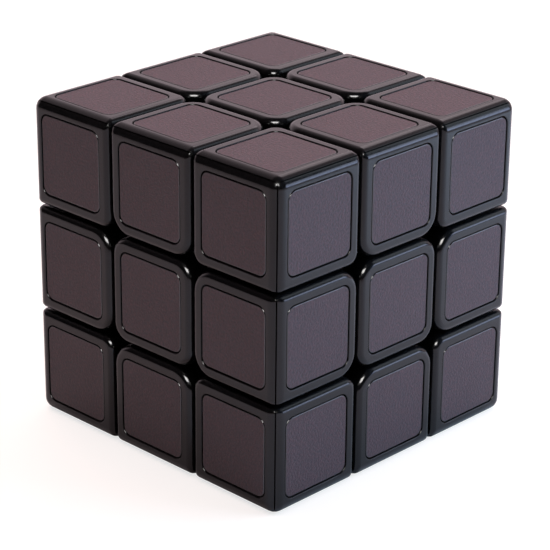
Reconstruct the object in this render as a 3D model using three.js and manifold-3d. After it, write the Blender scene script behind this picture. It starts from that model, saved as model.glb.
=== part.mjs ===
// 3 x 3 x 3 twisty puzzle cube: a six-arm core, six sprung centres, twelve edges and eight corners.
// Units are millimetres, +Z is up and the origin is the centre of the core.
// Faces are named by letter: U = +Z, D = -Z, R = +X, L = -X, F = -Y, B = +Y.

import * as THREE from 'three';
import { mergeVertices } from 'three/addons/utils/BufferGeometryUtils.js';
import Module from 'manifold-3d';

const wasm = await Module();
wasm.setup();

// ---- driving dimensions ----
const PITCH = 19.0; // spacing of the small cubes
const CUBE_HALF = 1.5 * PITCH; // centre of the cube to the outside of a frame
const VISIBLE_GAP = 0.5; // gap between neighbouring frames, as seen from outside
const HIDDEN_CLEARANCE = 0.2; // running clearance of each piece to the shared cut surfaces
const CUT_HIGH = PITCH / 2; // plane of a turning layer outside the locking sphere
const CUT_LOW = 6.2; // plane of a turning layer inside the locking sphere
const LOCKING_RADIUS = 21.5; // sphere between the outer caps and the feet that lock under them

const TILE_SIZE = 14.0;
const TILE_CORNER = 1.5; // radius of a tile's corners
const TILE_RECESS = 0.08; // tile face below the frame
const TILE_THICKNESS = 1.2; // of the loose tiles
const GROOVE_WIDTH = 0.25; // narrow gap around a tile
const GROOVE_DEPTH = 0.5;

const OUTER_FILLET = 2.0; // along the twelve outside edges of the cube
const SIDE_FILLET = 1.1; // between a visible face and a side wall
// outline corners of a frame, at the points where four frames meet
const JUNCTION_RADIUS = { corner: 2.2, edge: 4.0, centre: 3.3 };

const CAP_SEAM = 0.3; // between a centre's base and its snap-on cap
const CAP_SEAM_HEIGHT = 24.2; // top of the centre base, from the middle of the cube
const BASE_BOTTOM = 10.9; // underside of the centre base
const BASE_FLOOR = 2.4; // floor that the spring presses on
const CUP_RADIUS = 4.2; // cup in the centre base, around screw and spring
const CUP_PLUG_RADIUS = 3.9; // plug under the cap, in the mouth of the cup
const CUP_PLUG_LENGTH = 1.4;
const FOOT_CHAMFER_RADIUS = 11.4; // inner end of an edge's foot, from the middle of the cube

const ARM_RADIUS = 3.9;
const ARM_LENGTH = 10.5; // middle of the core to the end of an arm
const HUB_HALF = 4.6; // half width of the core's middle block
const HUB_CHAMFER = 1.2;
const SHANK_RADIUS = 1.4; // of the screws
const SHANK_START = 4.2; // tip of the screw, from the middle of the core
const PILOT_CLEARANCE = 0.06; // of the screw in its pilot hole, on the radius
const PILOT_END = 3.6; // bottom of a pilot hole, from the middle of the core
const SCREW_HOLE_RADIUS = 1.75;
const SCREW_HEAD_RADIUS = 3.1;
const SCREW_HEAD_HEIGHT = 1.8;
const SOCKET_RADIUS = 1.3; // across the corners of the hexagon socket
const SOCKET_DEPTH = 1.1;
const SOCKET_SIDES = 6;

const SPRING_RADIUS = 2.65; // centre line of the coil
const WIRE_RADIUS = 0.32;
const SPRING_TURNS = 4;
const SPRING_STEPS_PER_TURN = 8;
const WIRE_SIDES = 4;
const WASHER_INNER = 1.7;
const WASHER_OUTER = 3.3;
const WASHER_THICKNESS = 0.6;
const WASHER_BOTTOM = 19.0; // from the middle of the core
const STACK_PLAY = 0.1; // between floor, spring, washer and screw head

const ROUND_SIDES = 16; // facets of cups, arms and screws
const FILLET_STEPS = 2; // flat steps in a quarter circle
const TILE_STEPS = 2; // the same for the corners of a tile
const SPHERE_DETAIL = 4; // subdivision of the locking sphere
const MERGE_DISTANCE = 1e-4; // vertices closer than this are one

// ---- derived dimensions ----
const TILE_FACE = CUBE_HALF - TILE_RECESS; // centre of the cube to the face of a tile
const SIDE_INNER = CUT_HIGH + VISIBLE_GAP / 2;
const SIDE_OUTER = CUT_HIGH - VISIBLE_GAP / 2;
const FOOT_INNER = CUT_LOW + HIDDEN_CLEARANCE;
const FOOT_OUTER = CUT_LOW - HIDDEN_CLEARANCE;
const FLOOR_TOP = BASE_BOTTOM + BASE_FLOOR;
const SPRING_BOTTOM = FLOOR_TOP + STACK_PLAY;
const HEAD_BOTTOM = WASHER_BOTTOM + WASHER_THICKNESS + STACK_PLAY;
const FAR = 40; // beyond every face, for cutting bodies
const OVERLAP = 0.5; // joined bodies run into each other by this much

// ---- looks ----
const LOOKS = {
  frame: { color: 0x161617, roughness: 0.28, metalness: 0.0 },
  tile: { color: 0x4b3d42, roughness: 0.45, metalness: 0.0 },
  core: { color: 0xd9d6cd, roughness: 0.5, metalness: 0.0 },
  inner: { color: 0x1b1b1d, roughness: 0.5, metalness: 0.0 },
  steel: { color: 0xa7a9ab, roughness: 0.35, metalness: 0.9 },
};

// ---- geometry helpers ----
const AXES = [new THREE.Vector3(1, 0, 0), new THREE.Vector3(0, 1, 0), new THREE.Vector3(0, 0, 1)];

/** A closed manifold solid from any three.js geometry. */
function toSolid(geometry) {
  geometry.deleteAttribute('normal');
  geometry.deleteAttribute('uv');
  const merged = mergeVertices(geometry, MERGE_DISTANCE);
  const vertProperties = new Float32Array(merged.attributes.position.array);
  const triVerts = new Uint32Array(merged.index.array);
  return new wasm.Manifold(new wasm.Mesh({ numProp: 3, vertProperties, triVerts }));
}

/** A three.js geometry from a manifold solid. */
function toGeometry(solid) {
  const mesh = solid.getMesh();
  const geometry = new THREE.BufferGeometry();
  geometry.setAttribute('position', new THREE.BufferAttribute(new Float32Array(mesh.vertProperties), 3));
  geometry.setIndex(new THREE.BufferAttribute(new Uint32Array(mesh.triVerts), 1));
  return geometry;
}

/** A box given by its low and high limit along X, Y and Z. */
function box(x, y, z) {
  const geometry = new THREE.BoxGeometry(x[1] - x[0], y[1] - y[0], z[1] - z[0]);
  geometry.translate((x[0] + x[1]) / 2, (y[0] + y[1]) / 2, (z[0] + z[1]) / 2);
  return toSolid(geometry);
}

/** A sphere around the middle of the cube. */
function sphere(radius) {
  return toSolid(new THREE.IcosahedronGeometry(radius, SPHERE_DETAIL));
}

/** A cylinder along Z between two heights. */
function cylinder(radius, bottom, top, sides = ROUND_SIDES) {
  const geometry = new THREE.CylinderGeometry(radius, radius, top - bottom, sides);
  geometry.rotateX(Math.PI / 2);
  geometry.translate(0, 0, (bottom + top) / 2);
  return toSolid(geometry);
}

/** Points of a rectangle whose four corners, counted from (low, low), have their own radius. */
function roundedOutline(u, v, radii, steps) {
  const corners = [
    [u[0], v[0], 1, 1, Math.PI],
    [u[1], v[0], -1, 1, 1.5 * Math.PI],
    [u[1], v[1], -1, -1, 0],
    [u[0], v[1], 1, -1, 0.5 * Math.PI],
  ];
  const points = [];
  corners.forEach(([x, y, inwardX, inwardY, start], corner) => {
    const radius = radii[corner];
    if (radius === 0) {
      points.push(new THREE.Vector2(x, y));
      return;
    }
    for (let step = 0; step <= steps; step += 1) {
      const angle = start + (step / steps) * (Math.PI / 2);
      points.push(new THREE.Vector2(
        x + radius * (inwardX + Math.cos(angle)),
        y + radius * (inwardY + Math.sin(angle)),
      ));
    }
  });
  return points;
}

/** An outline drawn in the plane across an axis (0 = X, 1 = Y, 2 = Z), raised between two heights. */
function prism(axis, outline, bottom, top) {
  const options = { depth: top - bottom, bevelEnabled: false };
  const geometry = new THREE.ExtrudeGeometry(new THREE.Shape(outline), options);
  geometry.translate(0, 0, bottom);
  const turn = new THREE.Matrix4().makeBasis(AXES[(axis + 1) % 3], AXES[(axis + 2) % 3], AXES[axis]);
  return toSolid(geometry.applyMatrix4(turn));
}

/** A square tile outline on the face across one axis, centred on a small cube and grown by a margin. */
function tileOutline(centreU, centreV, margin) {
  const half = TILE_SIZE / 2 + margin;
  const radius = TILE_CORNER + margin;
  const limitsU = [centreU - half, centreU + half];
  const limitsV = [centreV - half, centreV + half];
  return roundedOutline(limitsU, limitsV, [radius, radius, radius, radius], TILE_STEPS);
}

// ---- frames of the small cubes ----
// Each end of a block is 'face' (seen from outside), 'side' (towards a neighbour) or 'inner' (hidden).
const FACE_END = { at: CUBE_HALF, kind: 'face' };
const LOW_SIDE = { at: SIDE_INNER, kind: 'side' };
const OUTWARD = [LOW_SIDE, FACE_END];
const ACROSS = [{ at: -SIDE_OUTER, kind: 'side' }, { at: SIDE_OUTER, kind: 'side' }];

/** Radius along the line where two ends of a block meet. */
function meetingRadius(first, second, junctionRadius) {
  if (first.kind === 'inner' || second.kind === 'inner') {
    return 0;
  }
  if (first.kind === 'side' && second.kind === 'side') {
    return junctionRadius;
  }
  return first.kind === second.kind ? OUTER_FILLET : SIDE_FILLET;
}

/** A block with every edge rounded: the common part of three rounded prisms. */
function roundedBlock(ends, junctionRadius) {
  const prisms = [0, 1, 2].map((axis) => {
    const u = ends[(axis + 1) % 3];
    const v = ends[(axis + 2) % 3];
    const radii = [[0, 0], [1, 0], [1, 1], [0, 1]].map(
      ([endU, endV]) => meetingRadius(u[endU], v[endV], junctionRadius),
    );
    const outline = roundedOutline([u[0].at, u[1].at], [v[0].at, v[1].at], radii, FILLET_STEPS);
    return prism(axis, outline, ends[axis][0].at, ends[axis][1].at);
  });
  return prisms[0].intersect(prisms[1]).intersect(prisms[2]);
}

/** Cuts the groove around a tile into a frame and leaves the tile standing inside it. */
function addTilePanel(frame, axis, centre) {
  const centreU = centre[(axis + 1) % 3];
  const centreV = centre[(axis + 2) % 3];
  const grooveFloor = CUBE_HALF - GROOVE_DEPTH;
  const groove = prism(axis, tileOutline(centreU, centreV, GROOVE_WIDTH), grooveFloor, FAR);
  const tile = prism(axis, tileOutline(centreU, centreV, 0), grooveFloor - OVERLAP, TILE_FACE);
  return frame.subtract(groove).add(tile);
}

/** Everything inside the locking sphere that a cap has to leave free, except the given column. */
function lockingSpace(columnX, columnY, columnZ) {
  return sphere(LOCKING_RADIUS + HIDDEN_CLEARANCE).subtract(box(columnX, columnY, columnZ));
}

const lockingBall = sphere(LOCKING_RADIUS - HIDDEN_CLEARANCE);
const OPEN = [-FAR, FAR];
const NECK = [-FOOT_OUTER, FOOT_OUTER];
const FOOT = [FOOT_INNER, FAR];

/** Corner between +X, +Y and +Z: a rounded block over a foot that reaches under three edges. */
function makeCorner() {
  const centre = [PITCH, PITCH, PITCH];
  const foot = box(FOOT, FOOT, FOOT).intersect(lockingBall);
  const block = roundedBlock([OUTWARD, OUTWARD, OUTWARD], JUNCTION_RADIUS.corner);
  return [0, 1, 2].reduce((body, axis) => addTilePanel(body, axis, centre), block.add(foot));
}

/** Edge between +X and +Z: a rounded block over a foot that reaches under two centres. */
function makeEdge() {
  const centre = [PITCH, 0, PITCH];
  const footEnd = toSolid(
    new THREE.BoxGeometry(FAR, FAR, FAR)
      .translate(0, 0, FOOT_CHAMFER_RADIUS + FAR / 2)
      .rotateY(Math.PI / 4),
  );
  const foot = box(FOOT, NECK, FOOT).intersect(lockingBall).intersect(footEnd);
  const block = roundedBlock([OUTWARD, ACROSS, OUTWARD], JUNCTION_RADIUS.edge);
  const cap = block.subtract(lockingSpace(OPEN, NECK, OPEN));
  return [0, 2].reduce((body, axis) => addTilePanel(body, axis, centre), cap.add(foot));
}

/** The whole outside shape of the +Z centre, before it is split into base and cap. */
function makeCentreBlock() {
  const upright = [{ at: BASE_BOTTOM, kind: 'inner' }, FACE_END];
  const block = roundedBlock([ACROSS, ACROSS, upright], JUNCTION_RADIUS.centre);
  return block.subtract(lockingSpace(NECK, NECK, OPEN));
}

/** Base of the +Z centre: a neck with a cup for spring and screw under a wide flange. */
function makeCentreBase() {
  const below = box(OPEN, OPEN, [-FAR, CAP_SEAM_HEIGHT]);
  const cup = cylinder(CUP_RADIUS, FLOOR_TOP, FAR);
  const hole = cylinder(SCREW_HOLE_RADIUS, 0, FAR);
  return makeCentreBlock().intersect(below).subtract(cup).subtract(hole);
}

/** Cap of the +Z centre, with a pocket for the tile and a plug that snaps into the cup. */
function makeCentreCap() {
  const capBottom = CAP_SEAM_HEIGHT + CAP_SEAM;
  const above = box(OPEN, OPEN, [capBottom, FAR]);
  const plug = cylinder(CUP_PLUG_RADIUS, CAP_SEAM_HEIGHT - CUP_PLUG_LENGTH, capBottom + OVERLAP);
  const pocketFloor = TILE_FACE - TILE_THICKNESS - STACK_PLAY;
  const pocket = prism(2, tileOutline(0, 0, GROOVE_WIDTH), pocketFloor, FAR);
  return makeCentreBlock().intersect(above).add(plug).subtract(pocket);
}

/** Loose square tile of the +Z centre. */
function makeCentreTile() {
  return prism(2, tileOutline(0, 0, 0), TILE_FACE - TILE_THICKNESS, TILE_FACE);
}

// ---- mechanism ----
/** Core: a chamfered middle block with six arms, each with a pilot hole for its screw. */
function makeCore() {
  const limits = [-HUB_HALF, HUB_HALF];
  const chamfer = [HUB_CHAMFER, HUB_CHAMFER, HUB_CHAMFER, HUB_CHAMFER];
  const outline = roundedOutline(limits, limits, chamfer, 1);
  const sides = [0, 1, 2].map((axis) => prism(axis, outline, ...limits));
  let core = sides[0].intersect(sides[1]).intersect(sides[2]);
  const toAxis = [[0, 90, 0], [90, 0, 0], [0, 0, 0]];
  for (const turn of toAxis) {
    core = core.add(cylinder(ARM_RADIUS, -ARM_LENGTH, ARM_LENGTH).rotate(turn));
  }
  const pilotRadius = SHANK_RADIUS + PILOT_CLEARANCE;
  for (const turn of toAxis) {
    for (const [bottom, top] of [[PILOT_END, FAR], [-FAR, -PILOT_END]]) {
      core = core.subtract(cylinder(pilotRadius, bottom, top).rotate(turn));
    }
  }
  return core;
}

/** Screw of the +Z arm, with a hexagon socket in its head. */
function makeScrew() {
  const headTop = HEAD_BOTTOM + SCREW_HEAD_HEIGHT;
  const profile = [
    [0, SHANK_START],
    [SHANK_RADIUS, SHANK_START],
    [SHANK_RADIUS, HEAD_BOTTOM],
    [SCREW_HEAD_RADIUS, HEAD_BOTTOM],
    [SCREW_HEAD_RADIUS, headTop],
    [0, headTop],
  ].map(([radius, height]) => new THREE.Vector2(radius, height));
  const body = toSolid(new THREE.LatheGeometry(profile, ROUND_SIDES).rotateX(Math.PI / 2));
  const socket = cylinder(SOCKET_RADIUS, headTop - SOCKET_DEPTH, FAR, SOCKET_SIDES);
  return body.subtract(socket);
}

/** Washer between the spring and the head of the +Z screw. */
function makeWasher() {
  const top = WASHER_BOTTOM + WASHER_THICKNESS;
  return cylinder(WASHER_OUTER, WASHER_BOTTOM, top).subtract(cylinder(WASHER_INNER, 0, FAR));
}

/** Centre line of the +Z spring. */
class SpringPath extends THREE.Curve {
  getPoint(t, target = new THREE.Vector3()) {
    const bottom = SPRING_BOTTOM + WIRE_RADIUS;
    const top = WASHER_BOTTOM - STACK_PLAY - WIRE_RADIUS;
    const height = bottom + (top - bottom) * t;
    const angle = 2 * Math.PI * SPRING_TURNS * t;
    return target.set(SPRING_RADIUS * Math.cos(angle), SPRING_RADIUS * Math.sin(angle), height);
  }
}

/** Compression spring of the +Z centre. */
function makeSpring() {
  const section = [];
  for (let side = 0; side < WIRE_SIDES; side += 1) {
    const angle = (2 * Math.PI * side) / WIRE_SIDES;
    section.push(new THREE.Vector2(WIRE_RADIUS * Math.cos(angle), WIRE_RADIUS * Math.sin(angle)));
  }
  const steps = SPRING_TURNS * SPRING_STEPS_PER_TURN;
  const options = { steps, bevelEnabled: false, extrudePath: new SpringPath() };
  return toSolid(new THREE.ExtrudeGeometry(new THREE.Shape(section), options));
}

// ---- placing ----
const FACES = [
  ['U', 2, 1], ['D', 2, -1], ['R', 0, 1], ['L', 0, -1], ['F', 1, -1], ['B', 1, 1],
].map(([letter, axis, sign]) => ({ letter, axis, sign, normal: AXES[axis].clone().multiplyScalar(sign) }));

const puzzle = new THREE.Group();
puzzle.name = 'twisty_puzzle_cube';

/** Adds one named mesh, turned so that the prototype's X, Y and Z point along the given directions. */
function place(name, solid, look, directions) {
  const geometry = toGeometry(solid);
  if (directions) {
    geometry.applyMatrix4(new THREE.Matrix4().makeBasis(...directions));
  }
  geometry.computeVertexNormals();
  const mesh = new THREE.Mesh(geometry, new THREE.MeshStandardMaterial(LOOKS[look]));
  mesh.name = name;
  puzzle.add(mesh);
}

place('core', makeCore(), 'core');

const centreParts = [
  ['screw', makeScrew(), 'steel'],
  ['spring', makeSpring(), 'steel'],
  ['washer', makeWasher(), 'steel'],
  ['centre_base', makeCentreBase(), 'inner'],
  ['centre_cap', makeCentreCap(), 'frame'],
  ['centre_tile', makeCentreTile(), 'tile'],
];
for (const face of FACES) {
  const sideways = AXES[(face.axis + 1) % 3];
  const third = face.normal.clone().cross(sideways);
  for (const [name, solid, look] of centreParts) {
    place(`${name}_${face.letter}`, solid, look, [sideways, third, face.normal]);
  }
}

// Names list the faces in the order U or D, then F or B, then R or L.
const UPRIGHT = FACES.filter((face) => face.axis === 2);
const FRONT_BACK = FACES.filter((face) => face.axis === 1);
const RIGHT_LEFT = FACES.filter((face) => face.axis === 0);

const edge = makeEdge();
const crossingGroups = [[UPRIGHT, FRONT_BACK], [UPRIGHT, RIGHT_LEFT], [FRONT_BACK, RIGHT_LEFT]];
for (const [firstGroup, secondGroup] of crossingGroups) {
  for (const first of firstGroup) {
    for (const second of secondGroup) {
      const third = first.normal.clone().cross(second.normal);
      place(`edge_${first.letter}${second.letter}`, edge, 'frame', [second.normal, third, first.normal]);
    }
  }
}

const corner = makeCorner();
for (const upright of UPRIGHT) {
  for (const frontBack of FRONT_BACK) {
    for (const rightLeft of RIGHT_LEFT) {
      // the corner looks the same with two directions swapped, which keeps the turn right-handed
      const swapped = rightLeft.sign * frontBack.sign * upright.sign < 0;
      const directions = swapped
        ? [frontBack.normal, rightLeft.normal, upright.normal]
        : [rightLeft.normal, frontBack.normal, upright.normal];
      const name = `corner_${upright.letter}${frontBack.letter}${rightLeft.letter}`;
      place(name, corner, 'frame', directions);
    }
  }
}

export default puzzle;
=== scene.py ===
"""Twisty puzzle cube: gloss black frames with inset plum tiles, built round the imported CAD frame.

Everything is in metres in the row frame: +Z up, the origin in the middle of the core.
Faces are named by letter: U = +Z, D = -Z, R = +X, L = -X, F = -Y, B = +Y.
Each kind of small cube is made once, on the +X, +Y and +Z side, and copied by rotation.
"""

import math

import bmesh
import bpy
from mathutils import Matrix, Vector


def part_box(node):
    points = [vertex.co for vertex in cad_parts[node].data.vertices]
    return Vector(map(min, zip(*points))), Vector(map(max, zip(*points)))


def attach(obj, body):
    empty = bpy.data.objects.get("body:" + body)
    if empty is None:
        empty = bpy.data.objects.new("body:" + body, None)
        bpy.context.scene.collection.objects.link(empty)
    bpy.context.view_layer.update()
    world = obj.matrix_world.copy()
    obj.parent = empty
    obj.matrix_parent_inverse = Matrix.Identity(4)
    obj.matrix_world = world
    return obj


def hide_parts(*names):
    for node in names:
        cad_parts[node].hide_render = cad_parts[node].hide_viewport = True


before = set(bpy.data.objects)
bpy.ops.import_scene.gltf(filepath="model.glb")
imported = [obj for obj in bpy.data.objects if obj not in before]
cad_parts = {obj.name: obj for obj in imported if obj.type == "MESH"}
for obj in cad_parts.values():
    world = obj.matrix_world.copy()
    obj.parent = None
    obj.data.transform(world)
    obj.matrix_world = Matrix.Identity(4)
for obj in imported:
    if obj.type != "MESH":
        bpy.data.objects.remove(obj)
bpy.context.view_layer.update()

MM = 0.001

# ---- sizes read from the frame ----
TILE_LOW, TILE_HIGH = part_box("centre_tile_U")
CAP_LOW, CAP_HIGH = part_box("centre_cap_U")
CORNER_LOW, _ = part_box("corner_UBR")
CUBE_HALF = CAP_HIGH[2]  # middle of the cube to the face of a frame
TILE_FACE = TILE_HIGH[2]  # middle of the cube to the face of a tile
TILE_BOTTOM = TILE_LOW[2]
TILE_HALF = TILE_HIGH[0]
CAP_BOTTOM = CAP_LOW[2]
SIDE_OUTER = CAP_HIGH[0]  # side wall of a middle block
PITCH = CUBE_HALF / 1.5
SIDE_INNER = PITCH - SIDE_OUTER  # side wall of an outer block that faces the middle layer

# ---- mechanism under the frames ----
CLEARANCE = 0.2 * MM  # of each piece to the cut surfaces that it shares with its neighbours
FOOT_INNER = CORNER_LOW[0]  # feet start here and reach under the neighbours
FOOT_OUTER = FOOT_INNER - 2 * CLEARANCE  # side of a foot or column in the middle layer
LOCKING_RADIUS = 21.5 * MM  # sphere between the outer caps and the feet that lock under them
CHAMFER_FROM = 11.4 * MM  # inner end of an edge's foot
PLUG_RADIUS = 3.9 * MM
PLUG_LENGTH = 1.4 * MM
PLUG_SIDES = 48

# ---- visible details ----
OUTER_FILLET = 2.0 * MM  # along the outside edges of the cube
SIDE_FILLET = 1.1 * MM  # between a visible face and a side wall
JUNCTION_RADIUS = {"corner": 2.2 * MM, "edge": 4.0 * MM, "centre": 3.3 * MM}
TILE_CORNER = 1.5 * MM
TILE_EDGE = 0.18 * MM  # rounding of a tile's upper edge
GROOVE = 0.18 * MM  # gap round a tile
RIM = 0.15 * MM  # rounding of the frame where the groove opens
POCKET_PLAY = 0.1 * MM  # under a tile
SEAM_WIDTH = 0.22 * MM  # of the parting line, at the surface
SEAM_DEPTH = 0.5 * MM

# ---- fineness ----
TILE_CORNER_STEPS = 10
TILE_EDGE_STEPS = 5
JUNCTION_STEPS = 12
FILLET_STEPS = 7
SPHERE_DETAIL = 5
SHARP_ANGLE = math.radians(32)

FAR = 40 * MM  # outside the cube
OVERLAP = 0.5 * MM  # joined or cut bodies run past each other by this much
ALIGNED = 0.999  # a normal with more than this along an axis belongs to a flat face

AXES = [Vector((1, 0, 0)), Vector((0, 1, 0)), Vector((0, 0, 1))]
FACES = {
    "U": (2, 1),
    "D": (2, -1),
    "R": (0, 1),
    "L": (0, -1),
    "F": (1, -1),
    "B": (1, 1),
}


def normal_of(letter):
    """Outward direction of a face of the cube."""
    axis, sign = FACES[letter]
    return AXES[axis] * sign


def turned(x_to, y_to, z_to):
    """Rotation that sends X, Y and Z to the given directions."""
    return Matrix((x_to, y_to, z_to)).transposed().to_4x4()


def face_turn(letter):
    """Rotation that takes +Z to a face, as the CAD places its centres."""
    axis, _ = FACES[letter]
    normal = normal_of(letter)
    sideways = AXES[(axis + 1) % 3]
    return turned(sideways, normal.cross(sideways), normal)


# ---- mesh helpers ----
def new_object(name, data):
    """Object in the scene that holds a mesh, a light or a camera."""
    obj = bpy.data.objects.new(name, data)
    bpy.context.scene.collection.objects.link(obj)
    return obj


def mesh_from(bm, name):
    """Mesh from a bmesh, with its normals facing out."""
    bmesh.ops.recalc_face_normals(bm, faces=bm.faces)
    mesh = bpy.data.meshes.new(name)
    bm.to_mesh(mesh)
    bm.free()
    return mesh


def evaluated(obj):
    """The mesh of an object with its modifiers applied; the object itself goes."""
    graph = bpy.context.evaluated_depsgraph_get()
    mesh = bpy.data.meshes.new_from_object(obj.evaluated_get(graph))
    old = obj.data
    bpy.data.objects.remove(obj)
    bpy.data.meshes.remove(old)
    return mesh


def moved(mesh, matrix):
    """Copy of a mesh, moved."""
    copy = mesh.copy()
    copy.transform(matrix)
    return copy


def box_mesh(low, high):
    """Plain box between two corners, used for cutting."""
    bm = bmesh.new()
    size = Vector(high) - Vector(low)
    middle = (Vector(high) + Vector(low)) / 2
    bmesh.ops.create_cube(bm, size=1, matrix=Matrix.Translation(middle) @ Matrix.Diagonal((*size, 1)))
    return mesh_from(bm, "box")


def ball_mesh(radius):
    """Sphere round the middle of the cube."""
    bm = bmesh.new()
    bmesh.ops.create_icosphere(bm, subdivisions=SPHERE_DETAIL, radius=radius)
    return mesh_from(bm, "ball")


def combined(mesh, steps):
    """A mesh after boolean steps, each ('UNION' | 'DIFFERENCE' | 'INTERSECT', other mesh)."""
    body = new_object("body", mesh)
    tools = []
    for operation, other in steps:
        tool = new_object("tool", other)
        tools.append(tool)
        cut = body.modifiers.new("cut", "BOOLEAN")
        cut.operation = operation
        cut.object = tool
        cut.solver = "EXACT"
    result = evaluated(body)
    for tool in tools:
        bpy.data.objects.remove(tool)
    return result


# ---- tiles and their pockets ----
def rounded_square(half, radius, steps):
    """Points of a square outline with round corners, counter-clockwise."""
    points = []
    for corner in range(4):
        start = corner * math.pi / 2
        sign_u = 1 if corner in (0, 3) else -1
        sign_v = 1 if corner in (0, 1) else -1
        for step in range(steps + 1):
            angle = start + step / steps * math.pi / 2
            points.append((
                sign_u * (half - radius) + radius * math.cos(angle),
                sign_v * (half - radius) + radius * math.sin(angle),
            ))
    return points


def lofted(rings, name):
    """Closed body through rings of points, each ring (outline, height)."""
    bm = bmesh.new()
    loops = [[bm.verts.new((u, v, height)) for u, v in outline] for outline, height in rings]
    count = len(loops[0])
    for low, high in zip(loops, loops[1:]):
        for i in range(count):
            j = (i + 1) % count
            bm.faces.new((low[i], low[j], high[j], high[i]))
    bm.faces.new(list(reversed(loops[0])))
    bm.faces.new(loops[-1])
    return mesh_from(bm, name)


def tile_ring(grow, height):
    """Ring of the tile's outline, grown outwards, at a height."""
    return rounded_square(TILE_HALF + grow, TILE_CORNER + grow, TILE_CORNER_STEPS), height


def tile_mesh():
    """Square tile on +Z with its upper edge rounded; its flat top has a material of its own."""
    rings = [tile_ring(0, TILE_BOTTOM)]
    for step in range(TILE_EDGE_STEPS + 1):
        angle = step / TILE_EDGE_STEPS * math.pi / 2
        inset = TILE_EDGE * (1 - math.cos(angle))
        height = TILE_FACE - TILE_EDGE * (1 - math.sin(angle))
        rings.append(tile_ring(-inset, height))
    mesh = lofted(rings, "tile")
    for polygon in mesh.polygons:
        polygon.material_index = 0 if polygon.normal.z > ALIGNED else 1
    return mesh


def pocket_mesh():
    """Cutter for the pocket a tile sits in, flared at the top so that the rim comes out round."""
    rings = [tile_ring(GROOVE, TILE_BOTTOM - POCKET_PLAY)]
    for step in range(TILE_EDGE_STEPS + 1):
        rise = math.sin(step / TILE_EDGE_STEPS * math.pi / 2)
        flare = 1 - math.sqrt(1 - rise * rise)
        rings.append(tile_ring(GROOVE + RIM * flare, CUBE_HALF - RIM * (1 - rise)))
    rings.append(tile_ring(GROOVE + RIM, CUBE_HALF + OVERLAP))
    return lofted(rings, "pocket")


def pocket_on(axis, centre):
    """Pocket cutter on the face across an axis, centred on a small cube."""
    spin = turned(AXES[(axis + 1) % 3], AXES[(axis + 2) % 3], AXES[axis])
    offset = Vector(centre)
    offset[axis] = 0
    return moved(pocket_mesh(), Matrix.Translation(offset) @ spin)


# ---- rounded blocks ----
# Each end of a block is a 'face' seen from outside, a 'side' towards a neighbour, or 'inner'.
OUTWARD = ((SIDE_INNER, "side"), (CUBE_HALF, "face"))
ACROSS = ((-SIDE_OUTER, "side"), (SIDE_OUTER, "side"))


def end_kind(face, ends):
    """Kind of the block's end that a flat face of the mesh lies on, or None on a rounded part."""
    for axis in range(3):
        if abs(face.normal[axis]) > ALIGNED:
            side = 1 if face.normal[axis] > 0 else 0
            return ends[axis][side][1]
    return None


def round_junctions(block, ends, radius):
    """Rounds the edges of a box where two of its sides meet."""
    bm = bmesh.new()
    bm.from_mesh(block)
    junctions = [
        edge for edge in bm.edges
        if all(end_kind(face, ends) == "side" for face in edge.link_faces)
    ]
    bmesh.ops.bevel(
        bm,
        geom=junctions,
        offset=radius,
        offset_type="OFFSET",
        segments=JUNCTION_STEPS,
        profile=0.5,
        affect="EDGES",
    )
    bm.to_mesh(block)
    bm.free()


def weigh_fillets(block, ends):
    """Gives each edge round a visible face its share of the bevel width."""
    weights = block.attributes.new("bevel_weight_edge", "FLOAT", "EDGE")
    bm = bmesh.new()
    bm.from_mesh(block)
    for edge in bm.edges:
        visible = [end_kind(face, ends) for face in edge.link_faces].count("face")
        if visible == 2:
            weights.data[edge.index].value = 1.0
        elif visible == 1:
            weights.data[edge.index].value = SIDE_FILLET / OUTER_FILLET
    bm.free()


def rounded_block(ends, junction_radius):
    """Block with a large radius where its sides meet and smaller fillets round its visible faces."""
    low = [ends[axis][0][0] for axis in range(3)]
    high = [ends[axis][1][0] for axis in range(3)]
    block = box_mesh(low, high)
    round_junctions(block, ends, junction_radius)
    weigh_fillets(block, ends)
    obj = new_object("block", block)
    bevel = obj.modifiers.new("fillet", "BEVEL")
    bevel.limit_method = "WEIGHT"
    bevel.width = OUTER_FILLET
    bevel.segments = FILLET_STEPS
    bevel.use_clamp_overlap = False
    return evaluated(obj)


def seam_blade(axis, centre):
    """Wedge along one outer edge of a small cube, for the line where its two shells meet."""
    half_length = PITCH / 2
    top = OUTER_FILLET  # the wedge ends this far outside the rounded edge
    half_width = SEAM_WIDTH / 2 * (SEAM_DEPTH + top) / SEAM_DEPTH
    profile = [(0, -SEAM_DEPTH), (half_width, top), (-half_width, top)]
    bm = bmesh.new()
    near, far = [[bm.verts.new((x, y, z)) for x, z in profile] for y in (-half_length, half_length)]
    bm.faces.new(near)
    bm.faces.new(list(reversed(far)))
    for i in range(3):
        j = (i + 1) % 3
        bm.faces.new((near[i], far[i], far[j], near[j]))
    blade = mesh_from(bm, "seam")
    rounded_edge = (CUBE_HALF - OUTER_FILLET) * math.sqrt(2) + OUTER_FILLET
    blade.transform(Matrix.Translation((0, 0, rounded_edge)))
    blade.transform(Matrix.Rotation(math.pi / 4, 4, "Y"))
    # the blade now lies along Y between +X and +Z; turn it to lie along the given axis
    blade.transform(turned(AXES[(axis + 2) % 3], AXES[axis], AXES[(axis + 1) % 3]))
    blade.transform(Matrix.Translation(AXES[axis] * centre[axis]))
    return blade


# ---- frames of the small cubes ----
def locking_ball():
    """Sphere that bounds the feet."""
    return ball_mesh(LOCKING_RADIUS - CLEARANCE)


def locking_space(column):
    """What a cap leaves free inside the locking sphere, apart from a column that it keeps."""
    ball = ball_mesh(LOCKING_RADIUS + CLEARANCE)
    return combined(ball, [("DIFFERENCE", box_mesh(*column))])


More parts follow.
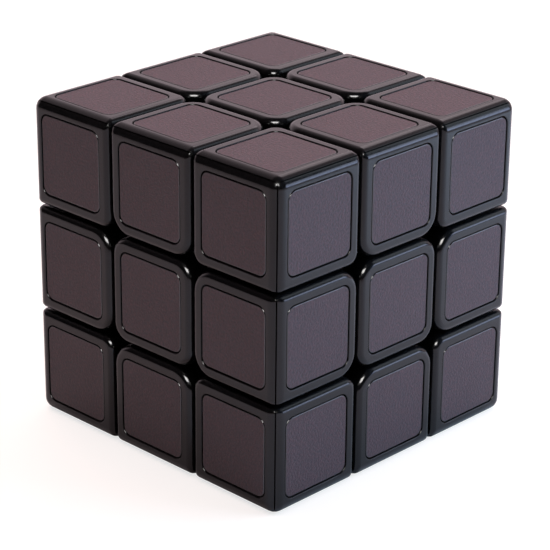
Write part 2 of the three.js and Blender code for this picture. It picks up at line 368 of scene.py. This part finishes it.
def corner_mesh():
    """Frame of the corner between +X, +Y and +Z."""
    centre = (PITCH, PITCH, PITCH)
    foot = combined(box_mesh([FOOT_INNER] * 3, [FAR] * 3), [("INTERSECT", locking_ball())])
    block = rounded_block((OUTWARD, OUTWARD, OUTWARD), JUNCTION_RADIUS["corner"])
    steps = [("UNION", foot)]
    steps += [("DIFFERENCE", pocket_on(axis, centre)) for axis in range(3)]
    steps += [("DIFFERENCE", seam_blade(axis, centre)) for axis in range(3)]
    return combined(block, steps)


def edge_mesh():
    """Frame of the edge between +X and +Z."""
    centre = (PITCH, 0, PITCH)
    foot_end = box_mesh((-FAR, -FAR, CHAMFER_FROM), (FAR, FAR, CHAMFER_FROM + FAR))
    foot_end.transform(Matrix.Rotation(math.pi / 4, 4, "Y"))
    foot = combined(
        box_mesh((FOOT_INNER, -FOOT_OUTER, FOOT_INNER), (FAR, FOOT_OUTER, FAR)),
        [("INTERSECT", locking_ball()), ("INTERSECT", foot_end)],
    )
    column = ((-FAR, -FOOT_OUTER, -FAR), (FAR, FOOT_OUTER, FAR))
    block = rounded_block((OUTWARD, ACROSS, OUTWARD), JUNCTION_RADIUS["edge"])
    steps = [("DIFFERENCE", locking_space(column)), ("UNION", foot)]
    steps += [("DIFFERENCE", pocket_on(axis, centre)) for axis in (0, 2)]
    steps += [("DIFFERENCE", seam_blade(1, centre))]
    return combined(block, steps)


def cap_mesh():
    """Cap of the +Z centre with its snap-in plug."""
    upright = ((CAP_BOTTOM + PLUG_LENGTH, "inner"), (CUBE_HALF, "face"))
    block = rounded_block((ACROSS, ACROSS, upright), JUNCTION_RADIUS["centre"])
    plug_depth = PLUG_LENGTH + OVERLAP
    bm = bmesh.new()
    bmesh.ops.create_cone(
        bm,
        cap_ends=True,
        segments=PLUG_SIDES,
        radius1=PLUG_RADIUS,
        radius2=PLUG_RADIUS,
        depth=plug_depth,
        matrix=Matrix.Translation((0, 0, CAP_BOTTOM + plug_depth / 2)),
    )
    plug = mesh_from(bm, "plug")
    return combined(block, [("UNION", plug), ("DIFFERENCE", pocket_mesh())])


# ---- material helpers ----
NOISE_MIDDLE = (0.3, 0.7)  # most of a noise lies in this range


def material(name):
    """New material with its shader; returns the material, its tree and the shader."""
    mat = bpy.data.materials.new(name)
    mat.use_nodes = True
    tree = mat.node_tree
    return mat, tree, tree.nodes["Principled BSDF"]


def noise(tree, scale, detail=2.0, roughness=0.5):
    """Noise in object space; scale is in cycles per metre."""
    coordinate = tree.nodes.new("ShaderNodeTexCoord")
    texture = tree.nodes.new("ShaderNodeTexNoise")
    texture.inputs["Scale"].default_value = scale
    texture.inputs["Detail"].default_value = detail
    texture.inputs["Roughness"].default_value = roughness
    tree.links.new(coordinate.outputs["Object"], texture.inputs["Vector"])
    return texture.outputs["Fac"]


def tones(tree, value, dark, light, source=NOISE_MIDDLE):
    """Colour that goes from dark to light while a value crosses the source range."""
    node = tree.nodes.new("ShaderNodeValToRGB")
    for element, position, colour in zip(node.color_ramp.elements, source, (dark, light)):
        element.position = position
        element.color = (*colour, 1)
    tree.links.new(value, node.inputs["Fac"])
    return node.outputs["Color"]


def spread(tree, value, low, high, source=NOISE_MIDDLE, interpolation="LINEAR"):
    """Maps a source range onto low to high."""
    node = tree.nodes.new("ShaderNodeMapRange")
    node.interpolation_type = interpolation
    node.inputs["From Min"].default_value, node.inputs["From Max"].default_value = source
    node.inputs["To Min"].default_value = low
    node.inputs["To Max"].default_value = high
    tree.links.new(value, node.inputs["Value"])
    return node.outputs["Result"]


def bump(tree, shader, value, depth, strength):
    """Bump on a shader; depth in metres."""
    node = tree.nodes.new("ShaderNodeBump")
    node.inputs["Strength"].default_value = strength
    node.inputs["Distance"].default_value = depth
    tree.links.new(value, node.inputs["Height"])
    tree.links.new(node.outputs["Normal"], shader.inputs["Normal"])


def blended(tree, mode, factor, first, second):
    """Two colours blended; the factor and the second colour may be plain values or node outputs."""
    mix = tree.nodes.new("ShaderNodeMix")
    mix.data_type = "RGBA"
    mix.blend_type = mode
    tree.links.new(first, mix.inputs["A"])
    for value, socket in ((factor, mix.inputs["Factor"]), (second, mix.inputs["B"])):
        if isinstance(value, bpy.types.NodeSocket):
            tree.links.new(value, socket)
        else:
            socket.default_value = value
    return mix.outputs["Result"]


def noisy_surface(name, colour, roughness, relief):
    """Material whose colour, roughness and bump each follow a noise; returns it and its shader.

    colour is (noise, dark, light), roughness is (noise, low, high) and relief is
    (noise, depth, strength), where each noise holds the arguments of noise() after the tree.
    """
    mat, tree, shader = material(name)
    pattern, dark, light = colour
    tree.links.new(tones(tree, noise(tree, *pattern), dark, light), shader.inputs["Base Color"])
    pattern, low, high = roughness
    tree.links.new(spread(tree, noise(tree, *pattern), low, high), shader.inputs["Roughness"])
    pattern, depth, strength = relief
    bump(tree, shader, noise(tree, *pattern), depth, strength)
    return mat, shader


# ---- materials ----
FLAKE_COLOUR = (0.068, 0.076, 0.088, 1)
FLAKE_METAL = 0.6


def frame_plastic():
    """Gloss black moulded plastic."""
    mat, shader = noisy_surface(
        "frame_plastic",
        colour=((90,), (0.0030, 0.0030, 0.0032), (0.0042, 0.0041, 0.0044)),
        roughness=((2600, 3), 0.10, 0.22),
        relief=((2200, 4, 0.7), 0.006 * MM, 0.3),
    )
    shader.inputs["IOR"].default_value = 1.45
    return mat


def tile_plastic():
    """Satin dark plum tile with a fine raised grain and grey flakes."""
    mat, tree, shader = material("tile_plastic")
    grain = noise(tree, 4200, 2, 0.6)
    speckle = noise(tree, 2500, 2, 0.7)
    base = tones(tree, noise(tree, 320, 3), (0.043, 0.0110, 0.0145), (0.051, 0.0140, 0.0175))
    shade = tones(tree, speckle, (0.40, 0.40, 0.40), (1.60, 1.60, 1.60), (0.35, 0.65))
    flakes = spread(tree, grain, 0.15, 0.55, (0.40, 0.70))
    plum = blended(tree, "MULTIPLY", 1.0, base, shade)
    tree.links.new(blended(tree, "MIX", flakes, plum, FLAKE_COLOUR), shader.inputs["Base Color"])
    tree.links.new(spread(tree, flakes, 0.0, FLAKE_METAL, (0.0, 1.0)), shader.inputs["Metallic"])
    tree.links.new(spread(tree, grain, 0.44, 0.60), shader.inputs["Roughness"])
    bump(tree, shader, speckle, 0.14 * MM, 1.0)
    shader.inputs["IOR"].default_value = 1.52
    return mat


def tile_edge_plastic():
    """Polished dark edge round a tile."""
    mat, shader = noisy_surface(
        "tile_edge_plastic",
        colour=((300,), (0.006, 0.004, 0.005), (0.010, 0.007, 0.009)),
        roughness=((900, 2), 0.12, 0.20),
        relief=((900, 2), 0.01 * MM, 0.2),
    )
    shader.inputs["IOR"].default_value = 1.8
    return mat


def inner_plastic():
    """Matt black moulded plastic of the hidden parts."""
    mat, _ = noisy_surface(
        "inner_plastic",
        colour=((120,), (0.012, 0.012, 0.013), (0.019, 0.019, 0.020)),
        roughness=((400, 3), 0.40, 0.52),
        relief=((1800, 3), 0.02 * MM, 0.4),
    )
    return mat


def core_plastic():
    """Natural nylon of the core."""
    mat, _ = noisy_surface(
        "core_plastic",
        colour=((150,), (0.66, 0.64, 0.57), (0.74, 0.72, 0.66)),
        roughness=((500, 3), 0.42, 0.55),
        relief=((1500, 3), 0.02 * MM, 0.3),
    )
    return mat


def zinc():
    """Bright zinc-plated steel of screws, springs and washers."""
    mat, shader = noisy_surface(
        "zinc_steel",
        colour=((900, 3), (0.40, 0.41, 0.42), (0.52, 0.52, 0.50)),
        roughness=((1400, 3), 0.22, 0.38),
        relief=((2600, 2), 0.01 * MM, 0.3),
    )
    shader.inputs["Metallic"].default_value = 1.0
    return mat


# ---- pieces ----
PLASTIC = frame_plastic()
PLUM = tile_plastic()
TILE_EDGE_GLOSS = tile_edge_plastic()
TILE = tile_mesh()
CORNER = corner_mesh()
EDGE = edge_mesh()
CAP = cap_mesh()


def add_piece(name, prototype, matrix, mats, body, replaced=None):
    """One visible piece: a moved copy of a prototype mesh, riding on a body."""
    mesh = moved(prototype, matrix)
    mesh.name = name
    indices = [polygon.material_index for polygon in mesh.polygons]  # clearing the materials loses them
    mesh.materials.clear()
    for mat in mats:
        mesh.materials.append(mat)
    for polygon, index in zip(mesh.polygons, indices):
        polygon.material_index = min(index, len(mats) - 1)
        polygon.use_smooth = True
    mesh.set_sharp_from_angle(angle=SHARP_ANGLE)
    obj = new_object(name, mesh)
    smooth = obj.modifiers.new("flat_faces_flat", "WEIGHTED_NORMAL")
    smooth.weight = 100
    smooth.keep_sharp = True
    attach(obj, body)
    if replaced:
        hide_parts(replaced)


def add_frame(name, prototype, matrix, body, replaced):
    """The black frame of one small cube."""
    add_piece(name, prototype, matrix, [PLASTIC], body, replaced)


def add_tile(name, letter, centre, body, replaced=None):
    """One tile on the face with that letter, over the small cube at centre."""
    offset = Vector(centre)
    axis, _ = FACES[letter]
    offset[axis] = 0
    matrix = Matrix.Translation(offset) @ face_turn(letter)
    add_piece(name, TILE, matrix, [PLUM, TILE_EDGE_GLOSS], body, replaced)


def add_centres():
    """Cap and tile of each of the six centres."""
    for letter in FACES:
        body = f"centre_{letter}"
        add_frame(f"cap_{letter}", CAP, face_turn(letter), body, f"centre_cap_{letter}")
        add_tile(f"tile_{letter}", letter, (0, 0, 0), body, f"centre_tile_{letter}")


def add_outer_cube(kind, letters, prototype, matrix):
    """Frame and tiles of one edge or corner, named by the letters of its faces."""
    node = f"{kind}_{letters}"
    add_frame(f"frame_{letters}", prototype, matrix, node, node)
    centre = sum((normal_of(letter) for letter in letters), Vector()) * PITCH
    for letter in letters:
        add_tile(f"tile_{letters}_{letter}", letter, centre, node)


def add_edges():
    """The twelve edges."""
    for first_group, second_group in (("UD", "FB"), ("UD", "RL"), ("FB", "RL")):
        for first in first_group:
            for second in second_group:
                third = normal_of(first).cross(normal_of(second))
                matrix = turned(normal_of(second), third, normal_of(first))
                add_outer_cube("edge", first + second, EDGE, matrix)


def add_corners():
    """The eight corners."""
    for upright in "UD":
        for front_back in "FB":
            for right_left in "RL":
                directions = [normal_of(right_left), normal_of(front_back), normal_of(upright)]
                if directions[0].cross(directions[1]).dot(directions[2]) < 0:
                    # swapped, so that the corner is turned and not mirrored
                    directions[0], directions[1] = directions[1], directions[0]
                add_outer_cube("corner", upright + front_back + right_left, CORNER, turned(*directions))


def dress_hidden_nodes():
    """Materials for the CAD nodes that stay: core, centre bases, screws, springs and washers."""
    nylon, black, steel = core_plastic(), inner_plastic(), zinc()
    looks = {"core": nylon, "centre_base": black, "screw": steel, "spring": steel, "washer": steel}
    for name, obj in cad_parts.items():
        for start, mat in looks.items():
            if name.startswith(start):
                obj.data.materials.clear()
                obj.data.materials.append(mat)


# ---- studio ----
AZIMUTH = math.radians(44.16)
ELEVATION = math.radians(22.18)
ROLL = math.radians(0.51)
DISTANCE = 377.5 * MM
LENS = 145.0  # mm on a 36 mm wide sensor
SHIFT = (0.0033, -0.0340)
FLOOR_SIZE = 4  # metres, far wider than the view
FLOOR_BOUNCE = (0.53, 0.55, 0.56)  # what the floor gives back to the cube
FLOOR_SEEN = (0.32, 0.30, 0.27)  # how strongly its shadows show
FLOOR_LIFT = 0.74  # lifts the floor that the camera sees to near white
BACKDROP = (0.98, 0.80, 0.86)
DARK_ROOM = (0.02, 0.02, 0.022)
BACKDROP_RISE = (1.0, 0.40)  # upward part of a direction, from dark to fully lit
BACKDROP_SIDES = (0.15, 0.65)  # the same for how far a direction points away from the camera


def toward(azimuth, elevation):
    """Unit direction from the cube; azimuth 0 is -Y and 90 degrees is +X."""
    flat = math.cos(elevation)
    return Vector((math.sin(azimuth) * flat, -math.cos(azimuth) * flat, math.sin(elevation)))


def looking_in(direction, distance):
    """Place at a distance from the cube, turned to look at it."""
    turn = direction.to_track_quat("Z", "Y").to_matrix().to_4x4()
    return Matrix.Translation(direction * distance) @ turn


def add_camera():
    """Camera at the photograph's viewing angle."""
    data = bpy.data.cameras.new("camera")
    data.lens = LENS
    data.sensor_width = 36
    data.shift_x, data.shift_y = SHIFT
    data.clip_start = 0.01
    data.clip_end = 50
    camera = new_object("camera", data)
    place = looking_in(toward(AZIMUTH, ELEVATION), DISTANCE)
    camera.matrix_world = place @ Matrix.Rotation(ROLL, 4, "Z")
    bpy.context.scene.camera = camera


def camera_switch(tree, otherwise, for_camera, output):
    """Sends one shader to the camera and another to every other ray."""
    path = tree.nodes.new("ShaderNodeLightPath")
    mix = tree.nodes.new("ShaderNodeMixShader")
    tree.links.new(path.outputs["Is Camera Ray"], mix.inputs[0])
    tree.links.new(otherwise.outputs[0], mix.inputs[1])
    tree.links.new(for_camera.outputs[0], mix.inputs[2])
    tree.links.new(mix.outputs[0], output)


def add_floor():
    """Plain pale floor under the cube, seen near white and giving back a middle grey."""
    bm = bmesh.new()
    bmesh.ops.create_grid(bm, x_segments=2, y_segments=2, size=FLOOR_SIZE)
    floor = new_object("floor", mesh_from(bm, "floor"))
    floor.location.z = -CUBE_HALF
    mat, tree, bounced = material("floor")
    seen = tree.nodes.new("ShaderNodeBsdfPrincipled")
    for shader, colour in ((bounced, FLOOR_BOUNCE), (seen, FLOOR_SEEN)):
        shader.inputs["Base Color"].default_value = (*colour, 1)
        shader.inputs["Roughness"].default_value = 0.9
        shader.inputs["Specular IOR Level"].default_value = 0.0
    seen.inputs["Emission Color"].default_value = (1, 1, 1, 1)
    seen.inputs["Emission Strength"].default_value = FLOOR_LIFT
    camera_switch(tree, bounced, seen, tree.nodes["Material Output"].inputs["Surface"])
    floor.data.materials.append(mat)


def set_world():
    """Pale backdrop low behind the cube in a dark room; plain white for the camera."""
    world = bpy.data.worlds.new("studio")
    bpy.context.scene.world = world
    world.use_nodes = True
    tree = world.node_tree
    tree.nodes.clear()
    direction = tree.nodes.new("ShaderNodeTexCoord").outputs["Generated"]
    axes = tree.nodes.new("ShaderNodeSeparateXYZ")
    tree.links.new(direction, axes.inputs[0])
    away = tree.nodes.new("ShaderNodeVectorMath")
    away.operation = "DOT_PRODUCT"
    away.inputs[1].default_value = -toward(AZIMUTH, 0)
    tree.links.new(direction, away.inputs[0])
    low = spread(tree, axes.outputs["Z"], 0.0, 1.0, BACKDROP_RISE)
    behind = spread(tree, away.outputs["Value"], 0.0, 1.0, BACKDROP_SIDES, "SMOOTHSTEP")
    lit = tree.nodes.new("ShaderNodeMath")
    lit.operation = "MULTIPLY"
    tree.links.new(low, lit.inputs[0])
    tree.links.new(behind, lit.inputs[1])
    room = tree.nodes.new("ShaderNodeBackground")
    room_tone = tones(tree, lit.outputs["Value"], DARK_ROOM, BACKDROP, (0.0, 1.0))
    tree.links.new(room_tone, room.inputs["Color"])
    white = tree.nodes.new("ShaderNodeBackground")
    white.inputs["Color"].default_value = (1, 1, 1, 1)
    output = tree.nodes.new("ShaderNodeOutputWorld")
    camera_switch(tree, room, white, output.inputs["Surface"])


def add_area(name, azimuth, elevation, size, power, colour, distance=1.0, only=None):
    """Soft light that looks at the cube from a direction; only may be "diffuse" or "glossy"."""
    data = bpy.data.lights.new(name, "AREA")
    data.shape = "RECTANGLE"
    data.size, data.size_y = size
    data.energy = power
    data.color = colour
    light = new_object(name, data)
    direction = toward(math.radians(azimuth), math.radians(elevation))
    light.matrix_world = looking_in(direction, distance)
    light.visible_glossy = only != "diffuse"
    light.visible_diffuse = only != "glossy"
    light.visible_camera = False


def add_lights():
    """Soft lights; some reach only matt or only glossy surfaces."""
    # warm light on the top tiles
    add_area("overhead", 255, 74, (1.4, 1.4), 25, (1, 0.76, 0.76), distance=1.2, only="diffuse")
    # white highlights where four frames meet
    add_area("key", 44, 43, (0.54, 0.42), 15.2, (1, 0.98, 0.96), only="glossy")
    # blue daylight on the right face, with its streak in the fillets
    add_area("window", 134, 4, (0.50, 0.16), 0.62, (0.45, 0.60, 1.0))
    add_area("streak", 135, 9, (0.30, 0.30), 1.1, (0.66, 0.75, 1.0), only="glossy")
    # near light that makes the right face lighter towards the back
    add_area("side", 130, 24, (0.21, 0.21), 2.3, (0.26, 0.36, 0.49), distance=0.26, only="diffuse")
    # faint fill from behind
    add_area("right_rear", 150, 32, (0.40, 0.50), 0.60, (0.8, 0.9, 1.0))
    add_area("back_right", 206, 40, (0.40, 0.35), 0.60, (1, 0.86, 0.9))


add_centres()
add_edges()
add_corners()
dress_hidden_nodes()

add_camera()
add_floor()
set_world()
add_lights()
bpy.context.scene.view_settings.view_transform = "Standard"
